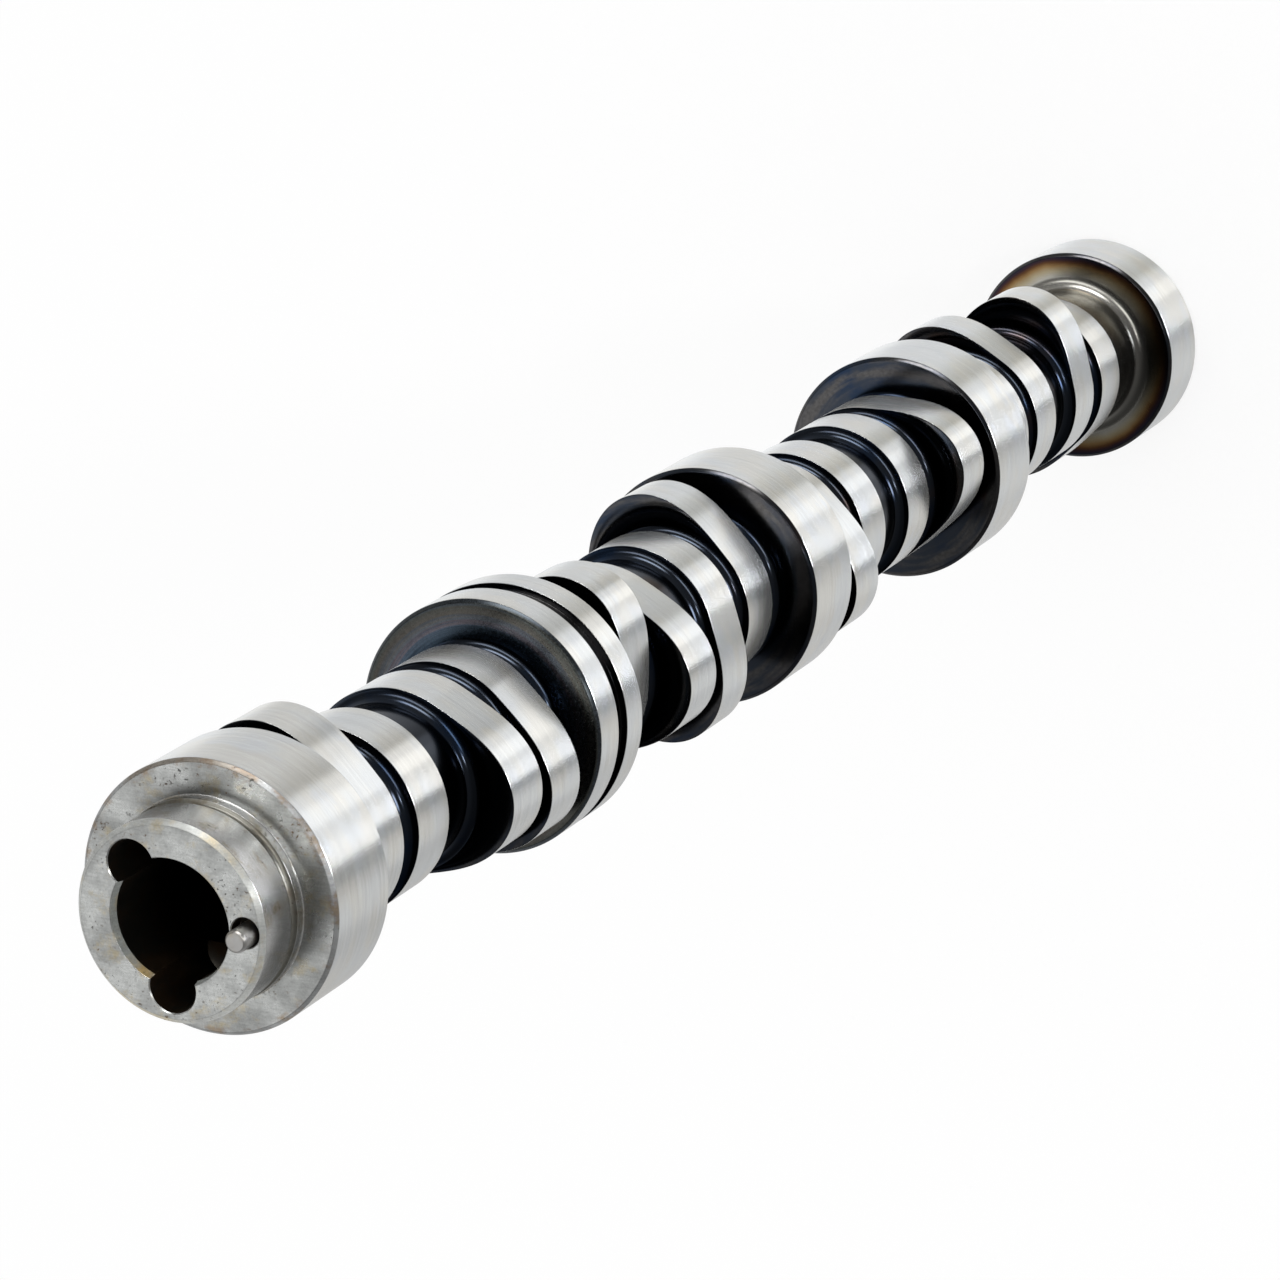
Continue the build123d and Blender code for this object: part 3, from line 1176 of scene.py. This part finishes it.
    def draw_neck(
        self, profile: Profile, walls: Point, rims: Point, radius: float, fillets: Point, surface: Surface
    ) -> None:
        """Draws a neck with a fillet at each wall.

        Args:
            profile: The outline that is drawn on.
            walls: Heights of the upper and lower walls.
            rims: Radii of the two walls' rims.
            radius: The neck's radius.
            fillets: The two fillets' radii, if there is room.
            surface: How the neck is worked.
        """
        top, bottom = walls
        share = min(1.0, (top - bottom) / (sum(fillets) + self.root_step))
        above, below = (min(share * f, rim - self.root_step - radius) for f, rim in zip(fillets, rims))
        entry = arc((radius + above, top - above), above, 90, 180, self.fillet_steps)
        leave = arc((radius + below, bottom + below), below, 180, 270, self.fillet_steps)
        profile.curve(entry[:1], Surface.DARK)
        profile.curve(entry[1:] + leave, surface)

    def draw_rear(self, profile: Profile) -> None:
        """Draws the rear face and its centre hole.

        Args:
            profile: The outline that is drawn on.
        """
        depth = cone_depth(self.centre_mouth_radius - self.centre_radius, self.centre_mouth_angle)
        tip = cone_depth(self.centre_radius, self.drill_point)
        profile.go(self.centre_mouth_radius, 0.0, Surface.FACED)
        profile.go(self.centre_radius, depth, Surface.FACED)
        profile.go(self.centre_radius, self.centre_depth, Surface.BORED)
        profile.go(0.0, self.centre_depth + tip, Surface.BORED)

    def cutter(self, name: str, radius: float, depth: float, circle: float, angle: float) -> bpy.types.Object:
        """Makes the form that a drill takes out of the nose's face, with a broken mouth.

        Args:
            name: The object's name.
            radius: The hole's radius.
            depth: Its depth below the nose's face.
            circle: Distance of its centre from the shaft's axis.
            angle: Direction of its centre.

        Returns:
            The form, with its materials.
        """
        face = self.layout.nose_face
        mouth = radius + self.hole_break + self.cutter_lap
        points = [
            (0.0, face + self.cutter_rise),
            (mouth, face + self.cutter_rise),
            (mouth, face + self.cutter_lap),
            (radius, face - self.hole_break),
            (radius, face - depth),
            (0.0, face - depth - cone_depth(radius, self.drill_point)),
        ]
        surfaces = [Surface.BORED, Surface.BORED, Surface.FACED, Surface.BORED, Surface.BORED]
        form = turned(name, (points, surfaces), self.hole_segments, polar(circle, angle))
        self.dress(form)
        return form

    def drill(self, body: bpy.types.Object) -> None:
        """Takes the side holes, the pin's relief and its seat out of the nose.

        Args:
            body: The turned body.
        """
        side_hole = (self.side_hole_radius, self.side_hole_depth, self.side_hole_circle)
        holes = [
            *((*side_hole, angle) for angle in self.side_hole_angles),
            (self.pin_relief_radius, self.pin_relief_depth, self.pin_relief_circle, self.pin_relief_angle),
            (self.pin_seat_radius, self.pin_seat_depth, self.pin_seat_circle, 0.0),
        ]
        cutters = [self.cutter(f"cutter_{number}", *hole) for number, hole in enumerate(holes)]
        for cutter in cutters:
            cut = body.modifiers.new(cutter.name, "BOOLEAN")
            cut.operation, cut.solver, cut.object = "DIFFERENCE", "EXACT", cutter
        settle(body).set_sharp_from_angle(angle=math.radians(self.sharp_angle))
        for cutter in cutters:
            bpy.data.objects.remove(cutter)


@dataclass
class CamLobes:
    """The sixteen roller lobes, made by one node tree from the lift law and the firing order.

    Sizes are millimetres and degrees. A face is a lobe's side where its normal's upright part is over
    side_upright, and points nearer than seam are joined.
    """

    layout: Layout
    steels: dict[Surface, bpy.types.Material]
    lobe_lift: float = 7.25
    half_duration: float = 70.8
    lift_power: float = 2.3
    roller_radius: float = 8.9
    edge_break: float = 0.1
    edge_hold: float = 0.15
    root_radius: float = 18.0
    firing_order: tuple[int, ...] = (1, 8, 7, 2, 6, 5, 4, 3)
    bank_angle: float = 90.0
    lobe_separation: float = 119.5
    first_exhaust_angle: float = -7.2
    segments: int = 240
    seam: float = 0.001
    side_upright: float = 0.8

    def inputs(self) -> dict[str, float]:
        """Works out the node tree's inputs.

        Returns:
            Their values in metres and radians, by name.
        """
        layout = self.layout
        lengths = {
            "Lobe Width": layout.lobe_width,
            "Base Radius": layout.base_radius,
            "Lobe Lift": self.lobe_lift,
            "Roller Radius": self.roller_radius,
            "Edge Break": self.edge_break,
            "Edge Hold": self.edge_hold,
            "Root Radius": self.root_radius,
            "First Lobe Height": layout.height(layout.lobe_centre(0, 0)),
            "Journal Pitch": layout.journal_pitch,
            "Bank Offset": layout.bank_offset,
            "Valve Spacing": layout.valve_spacing,
        }
        angles = {
            "Half Duration": self.half_duration,
            "Bank Angle": self.bank_angle,
            "Lobe Separation": self.lobe_separation,
            "First Exhaust Angle": self.first_exhaust_angle,
        }
        metres = {name: size * MM for name, size in lengths.items()}
        radians = {name: math.radians(turn) for name, turn in angles.items()}
        return metres | radians | {"Lift Power": self.lift_power}

    def build(self) -> bpy.types.Object:
        """Grows the lobes from a single point and dresses them.

        Returns:
            The finished piece.
        """
        seed = bpy.data.meshes.new("lobe_seed")
        seed.from_pydata([(0.0, 0.0, 0.0)], [], [])
        piece = placed("cam_lobes", seed)
        modifier = piece.modifiers.new("Roller lobes", "NODES")
        modifier.node_group = self.tree()
        values = self.inputs()
        for item in modifier.node_group.interface.items_tree:
            if item.item_type == "SOCKET" and item.in_out == "INPUT" and item.name in values:
                modifier[item.identifier] = values[item.name]
        settle(piece)
        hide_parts("camshaft")
        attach(piece, "root")
        return piece

    def tree(self) -> bpy.types.NodeTree:
        """Builds the node tree of the lobes.

        Returns:
            The tree, with its sizes as named inputs.
        """
        tree = bpy.data.node_groups.new("Roller lobes", "GeometryNodeTree")
        tree.interface.new_socket("Geometry", in_out="INPUT", socket_type="NodeSocketGeometry")
        for name in self.inputs():
            tree.interface.new_socket(name, in_out="INPUT", socket_type="NodeSocketFloat")
        tree.interface.new_socket("Geometry", in_out="OUTPUT", socket_type="NodeSocketGeometry")
        sheet = Sheet(tree)
        group = sheet.add("NodeGroupInput")
        sizes = {name: sheet.read(group, name) for name in self.inputs()}
        lobe = self.single_lobe(sheet, sizes)
        points, turns = self.lobe_places(sheet, sizes)
        copies = sheet.get("GeometryNodeInstanceOnPoints", Points=points, Instance=lobe, Rotation=turns)
        lobes = sheet.get("GeometryNodeRealizeInstances", Geometry=copies)
        normal = sheet.get("GeometryNodeInputNormal")
        upright = sheet.get("ShaderNodeSeparateXYZ", Vector=normal, output="Z")
        sides = sheet.math("GREATER_THAN", sheet.math("ABSOLUTE", upright), self.side_upright)
        for where, surface in ((True, Surface.GROUND), (sides, Surface.DARK)):
            steel = self.steels[surface]
            lobes = sheet.get("GeometryNodeSetMaterial", Geometry=lobes, Selection=where, Material=steel)
        sheet.add("NodeGroupOutput", Geometry=lobes)
        return tree

    def section(self) -> list[tuple[float, ...]]:
        """Lists the points of a lobe's section: root, side, broken edge, ground surface, and back.

        Returns:
            For each point its depth in edge breaks and in holds, its rise in edge breaks and in holds,
            its side, and 1 if it is on the root.
        """
        bevel = 0.29
        half = [
            (1.0, 1.0, 0.0, 0.0, 1.0, 1.0),
            (1.0, 1.0, 0.0, 0.0, 1.0, 0.0),
            (1.0, 0.0, 0.0, 0.0, 1.0, 0.0),
            (bevel, 0.0, bevel, 0.0, 1.0, 0.0),
            (0.0, 0.0, 1.0, 0.0, 1.0, 0.0),
            (0.0, 0.0, 1.0, 1.0, 1.0, 0.0),
        ]
        return [*half, *((*point[:4], -1.0, point[5]) for point in reversed(half)), half[0]]

    def single_lobe(self, sheet: Sheet, sizes: dict[str, Term]) -> Term:
        """Bends a grid into one closed lobe, whose nose points along X.

        The lobe's outline is what a roller leaves when it follows the lift law. A row of the grid goes
        round the lobe, and a column goes round its section.

        Args:
            sheet: The tree that nodes are added to.
            sizes: The tree's named inputs.

        Returns:
            The lobe's mesh.
        """
        rows = self.section()
        count = len(rows)
        counts = {"Vertices_X": self.segments + 1, "Vertices_Y": count}
        grid = sheet.get("GeometryNodeMeshGrid", Size_X=1.0, Size_Y=1.0, **counts)
        index = sheet.get("GeometryNodeInputIndex")
        column = sheet.math("FLOOR", index / count)
        row = index - column * count
        depth_breaks, depth_holds, rise_breaks, rise_holds, side, root = (
            self.pick(sheet, row, values) for values in zip(*rows)
        )
        turn = column * (2 * math.pi / self.segments) - math.pi
        edge, hold = sizes["Edge Break"], sizes["Edge Hold"]
        depth = depth_breaks * edge + depth_holds * hold
        rise = rise_breaks * edge + rise_holds * hold
        limit, power = sizes["Half Duration"], sizes["Lift Power"]
        lift, roller = sizes["Lobe Lift"], sizes["Roller Radius"]
        ratio = turn / limit
        rest = sheet.math("MAXIMUM", 1.0 - ratio * ratio, 0.0)
        slope = lift * power * rest ** (power - 1.0) * (ratio * -2.0 / limit)
        centre = sizes["Base Radius"] + roller + lift * rest**power
        reach = (roller + depth) / sheet.math("SQRT", centre * centre + slope * slope)
        out = centre - reach * centre
        out = out + root * (sizes["Root Radius"] - out)
        across = reach * slope * (1.0 - root)
        cosine, sine = sheet.math("COSINE", turn), sheet.math("SINE", turn)
        x = out * cosine - across * sine
        y = out * sine + across * cosine
        place = sheet.join(X=x, Y=y, Z=side * (sizes["Lobe Width"] / 2.0 - rise))
        bent = sheet.get("GeometryNodeSetPosition", Geometry=grid, Position=place)
        return sheet.get("GeometryNodeMergeByDistance", Geometry=bent, Distance=self.seam * MM)

    def lobe_places(self, sheet: Sheet, sizes: dict[str, Term]) -> tuple[Term, Term]:
        """Places a point for each lobe and turns it by its cylinder's place in the firing order.

        In each bay the lobes are intake and exhaust of the two facing cylinders in turn: the odd
        cylinder's intake, the even one's exhaust, the odd one's exhaust and the even one's intake.

        Args:
            sheet: The tree that nodes are added to.
            sizes: The tree's named inputs.

        Returns:
            The points, and the rotation at each.
        """
        per_bay = self.layout.lobes_per_bay
        line = sheet.get("GeometryNodeMeshLine", Count=self.layout.bays * per_bay)
        index = sheet.get("GeometryNodeInputIndex")
        bay = sheet.math("FLOOR", index / per_bay)
        place = sheet.math("MODULO", index, per_bay)
        even = sheet.math("MODULO", place, 2.0)
        later = sheet.math("FLOOR", place / 2.0)
        drop = bay * sizes["Journal Pitch"] + even * sizes["Bank Offset"] + later * sizes["Valve Spacing"]
        spot = sheet.join(Z=sizes["First Lobe Height"] - drop)
        points = sheet.get("GeometryNodeSetPosition", Geometry=line, Position=spot)
        cylinders = len(self.firing_order)
        fires = self.pick(sheet, bay * 2.0 + even, [self.firing_order.index(n + 1) for n in range(cylinders)])
        angle = fires * (2 * math.pi / cylinders) + sizes["First Exhaust Angle"] + even * sizes["Bank Angle"]
        intake = sheet.math("COMPARE", later, even, 0.5)
        spin = sheet.join(Z=angle + intake * sizes["Lobe Separation"])
        return points, sheet.get("FunctionNodeEulerToRotation", Euler=spin)

    def pick(self, sheet: Sheet, number: Term, values: Sequence[float]) -> Term:
        """Looks up a value in a list.

        Args:
            sheet: The tree that nodes are added to.
            number: The value's place in the list, a whole number.
            values: The list.

        Returns:
            The value.
        """
        switch = sheet.add("GeometryNodeIndexSwitch", {"data_type": "FLOAT"})
        while len(switch.index_switch_items) < len(values):
            switch.index_switch_items.new()
        for socket, value in zip(switch.inputs, (sheet.math("ROUND", number), *values)):
            sheet.feed(socket, value)
        return sheet.read(switch)


@dataclass
class LocatingPin:
    """The pin that stands out of the nose's face. Sizes are millimetres."""

    layout: Layout
    radius: float = 2.25
    circle: float = 16.15
    reach: float = 4.0
    depth: float = 11.5
    chamfer: float = 0.4
    edge_break: float = 0.14
    segments: int = 72

    def build(self) -> bpy.types.Object:
        """Builds the pin and dresses it.

        Returns:
            The finished piece.
        """
        top = self.layout.nose_face + self.reach
        bottom = self.layout.nose_face - self.depth
        inner = self.radius - self.chamfer
        profile = Profile(self.edge_break)
        for radius, height in (
            (0.0, top),
            (inner, top),
            (self.radius, top - self.chamfer),
            (self.radius, bottom + self.chamfer),
            (inner, bottom),
            (0.0, bottom),
        ):
            profile.go(radius, height, Surface.GROUND)
        piece = turned("locating_pin", profile.finished(), self.segments, (self.circle, 0.0))
        piece.data.materials.append(PIN_FINISH.make())
        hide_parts("dowel_pin")
        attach(piece, "root")
        return piece


# ---- Studio and camera ----


@dataclass(frozen=True)
class Panel:
    """A bright or dark panel of the studio, as the steel mirrors it. Angles are degrees.

    Attributes:
        azimuth: Direction of its middle about the shaft.
        core: Half its width.
        fade: Width of its soft sides.
        low: Elevation of its lower edge.
        high: Elevation of its upper edge.
        blur: Half the width of its soft lower and upper edges.
        strength: Light that it adds, or takes away where negative.
        tint: Its colour.
    """

    azimuth: float
    core: float
    fade: float
    low: float
    high: float
    blur: float
    strength: float
    tint: Colour = (1.0, 1.0, 1.0)

    def light(self, sheet: Sheet, level: Term, elevation: Term) -> Term:
        """Adds the panel's light.

        Args:
            sheet: The world's tree.
            level: The direction that is looked in, laid level, of length 1.
            elevation: The elevation that is looked in.

        Returns:
            The light, as a colour.
        """
        outer, inner = (math.cos(math.radians(width)) for width in (self.core + self.fade, self.core))
        share = sheet.smooth(sheet.facing(level, self.azimuth), outer, inner)
        share = share * sheet.smooth(elevation, self.low - self.blur, self.low + self.blur)
        share = share * sheet.smooth(elevation, self.high + self.blur, self.high - self.blur)
        return sheet.scaled(self.tint, share * self.strength)


@dataclass(frozen=True)
class Studio:
    """White floor and surround, a soft lamp, and the panels that steel mirrors.

    Attributes:
        floor_size: Diameter of the floor in metres.
        floor_segments: Sides of the floor's edge.
        floor_colour: Colour of the floor where the object's shadow shows on it.
        shadow_share: How much of the object's shadow the floor shows.
        surround: Light of the plain surround, by elevation in degrees.
        surround_peak: Light at the top of the surround's colour ramp.
        panels: The panels in front of the surround.
        lamp_place: Where the lamp hangs, in metres.
        lamp_aim: The point that it faces.
        lamp_size: Its side in metres.
        lamp_power: Its power in watts.
    """

    floor_size: float = 6.0
    floor_segments: int = 96
    floor_colour: Colour = (0.95, 0.95, 0.95)
    shadow_share: float = 0.25
    surround: tuple[tuple[float, float], ...] = (
        (-90.0, 0.85),
        (-67.0, 0.70),
        (-62.0, 0.70),
        (-56.0, 0.50),
        (-50.0, 0.42),
        (-40.0, 0.40),
        (20.0, 0.34),
        (45.0, 0.20),
        (90.0, 0.16),
    )
    surround_peak: float = 2.0
    panels: tuple[Panel, ...] = (
        Panel(36.0, 28.0, 9.0, -64.0, -44.0, 5.0, 0.58, (0.98, 0.99, 1.02)),
        Panel(36.0, 28.0, 9.0, -95.0, -64.0, 4.0, 0.08, (0.99, 0.99, 1.00)),
        Panel(46.0, 4.0, 8.0, -95.0, -44.0, 6.0, 0.34, (1.0, 0.99, 0.96)),
        Panel(-36.0, 9.0, 9.0, -62.0, -44.0, 6.0, 0.18),
        Panel(-5.0, 4.0, 6.0, -95.0, -44.0, 6.0, -0.22, (1.06, 1.0, 0.94)),
        Panel(84.0, 10.0, 12.0, -95.0, -60.0, 4.0, -0.22, (0.9, 0.95, 1.2)),
        Panel(140.0, 40.0, 30.0, -95.0, -44.0, 6.0, 0.21, (0.96, 0.99, 1.04)),
        Panel(198.0, 4.0, 34.0, -95.0, -44.0, 6.0, 0.36, (0.98, 1.0, 1.0)),
        Panel(215.0, 60.0, 30.0, -50.0, 15.0, 8.0, 0.35),
        Panel(17.0, 5.0, 6.0, -26.0, -8.0, 4.0, 20.0, (0.95, 0.98, 1.06)),
        Panel(92.0, 8.0, 14.0, 14.0, 27.0, 4.0, 10.0),
        Panel(45.0, 14.0, 12.0, 50.0, 60.0, 3.0, 7.5),
        Panel(110.0, 24.0, 12.0, 50.0, 60.0, 3.0, 5.2),
        Panel(216.0, 14.0, 18.0, 38.0, 95.0, 12.0, 0.94),
    )
    lamp_place: Place = (1.04, 0.32, 1.18)
    lamp_aim: Place = (0.0, 0.0, 0.30)
    lamp_size: float = 0.13
    lamp_power: float = 2.0

    def build(self) -> None:
        """Builds the world, the floor and the lamp."""
        self.build_world()
        self.build_floor()
        self.build_lamp()

    def build_world(self) -> None:
        """Makes a world that is white to the camera and a studio of panels to mirroring steel."""
        world = bpy.data.worlds.new("studio")
        bpy.context.scene.world = world
        world.use_nodes = True
        sheet = Sheet(world.node_tree)
        background = next(node for node in sheet.tree.nodes if node.type == "BACKGROUND")
        towards = sheet.vector("NORMALIZE", sheet.get("ShaderNodeTexCoord", output="Generated"))
        level = sheet.level(towards)
        upward = sheet.get("ShaderNodeSeparateXYZ", Vector=towards, output="Z")
        elevation = sheet.math("DEGREES", sheet.math("ARCSINE", upward))
        stops = [(angle / 180 + 0.5, (light / self.surround_peak,) * 3) for angle, light in self.surround]
        seen = sheet.scaled(sheet.ramp(elevation * (1 / 180) + 0.5, stops), self.surround_peak)
        for panel in self.panels:
            seen = sheet.vector("ADD", seen, panel.light(sheet, level, elevation))
        seen = sheet.vector("MAXIMUM", seen, (0.0, 0.0, 0.0))
        mirrored = sheet.get("ShaderNodeLightPath", output="Is Glossy Ray")
        sheet.fill(background, Color=sheet.mix(mirrored, (1.0, 1.0, 1.0), seen), Strength=1.0)

    def build_floor(self) -> None:
        """Makes a white floor that keeps a faint shadow and hides nothing from mirroring steel."""
        form = bmesh.new()
        bmesh.ops.create_circle(form, cap_ends=True, radius=self.floor_size / 2, segments=self.floor_segments)
        mesh = bpy.data.meshes.new("floor")
        form.to_mesh(mesh)
        form.free()
        material = bpy.data.materials.new("floor_white")
        material.use_nodes = True
        sheet = Sheet(material.node_tree)
        sheet.tree.nodes.clear()
        cloth = sheet.get("ShaderNodeBsdfDiffuse", Color=self.floor_colour)
        white = sheet.get("ShaderNodeEmission", Color=(1.0, 1.0, 1.0), Strength=1.0)
        clear = sheet.get("ShaderNodeBsdfTransparent")
        path = sheet.add("ShaderNodeLightPath")
        seen = self.mix_shaders(sheet, self.shadow_share, white, cloth)
        shown = self.mix_shaders(sheet, sheet.read(path, "Is Camera Ray"), cloth, seen)
        result = self.mix_shaders(sheet, sheet.read(path, "Is Glossy Ray"), shown, clear)
        sheet.add("ShaderNodeOutputMaterial", {"target": "ALL"}, Surface=result)
        mesh.materials.append(material)
        floor = placed("floor", mesh)

    def mix_shaders(self, sheet: Sheet, share: object, first: Term, second: Term) -> Term:
        """Mixes two shaders.

        Args:
            sheet: The material's tree.
            share: How much of the second shows, from 0 to 1.
            first: The first shader.
            second: The second shader.

        Returns:
            The mixed shader.
        """
        node = sheet.add("ShaderNodeMixShader")
        for socket, value in zip(node.inputs, (share, first, second)):
            sheet.feed(socket, value)
        return sheet.read(node)

    def build_lamp(self) -> None:
        """Hangs the square softbox that lights the steel."""
        light = bpy.data.lights.new("key_softbox", "AREA")
        light.shape, light.size, light.energy = "SQUARE", self.lamp_size, self.lamp_power
        lamp = bpy.data.objects.new("key_softbox", light)
        lamp.location = self.lamp_place
        aim = Vector(self.lamp_aim) - Vector(self.lamp_place)
        lamp.rotation_euler = aim.to_track_quat("-Z", "Y").to_euler()
        lamp.visible_camera = False
        bpy.context.scene.collection.objects.link(lamp)


@dataclass(frozen=True)
class ViewPoint:
    """The photograph's viewpoint, found from the shaft's own edges.

    Attributes:
        lens: Focal length in millimetres.
        sensor: Width of the picture at that length, in millimetres.
        clip: Distances between which the camera sees, in metres.
        position: Where it stands, in millimetres.
        right: Direction of the picture's right.
        down: Direction of the picture's lower edge.
        forward: Direction that it looks in.
    """

    lens: float = 148.25
    sensor: float = 36.0
    clip: Point = (0.01, 50.0)
    position: Place = (469.284, 339.236, 1289.531)
    right: Place = (0.90565936, -0.00146413, -0.42400351)
    down: Place = (0.12407283, -0.95530786, 0.26831479)
    forward: Place = (-0.40544674, -0.29560911, -0.86500185)

    def build(self) -> None:
        """Places the camera and makes it the scene's camera."""
        camera = bpy.data.cameras.new("camera")
        camera.lens, camera.sensor_width = self.lens, self.sensor
        camera.clip_start, camera.clip_end = self.clip
        holder = bpy.data.objects.new("camera", camera)
        axes = [Vector(self.right), -Vector(self.down), -Vector(self.forward)]
        turn = Matrix([[axis[row] for axis in axes] for row in range(3)])
        holder.matrix_world = Matrix.Translation(Vector(self.position) * MM) @ turn.to_4x4()
        bpy.context.scene.collection.objects.link(holder)
        bpy.context.scene.camera = holder


def main() -> None:
    """Builds the camshaft's looks and its studio, in order."""
    logging.basicConfig(level=logging.INFO, format="%(name)s: %(message)s")
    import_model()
    bpy.context.scene.view_settings.view_transform = "Standard"
    steels = {surface: finish.make() for surface, finish in FINISHES.items()}
    layout = Layout()
    for maker in (TurnedShaft(layout, steels), CamLobes(layout, steels), LocatingPin(layout)):
        piece = maker.build()
        LOG.info("%s: %d faces", piece.name, len(piece.data.polygons))
    Studio().build()
    ViewPoint().build()


if __name__ == "__main__":
    main()
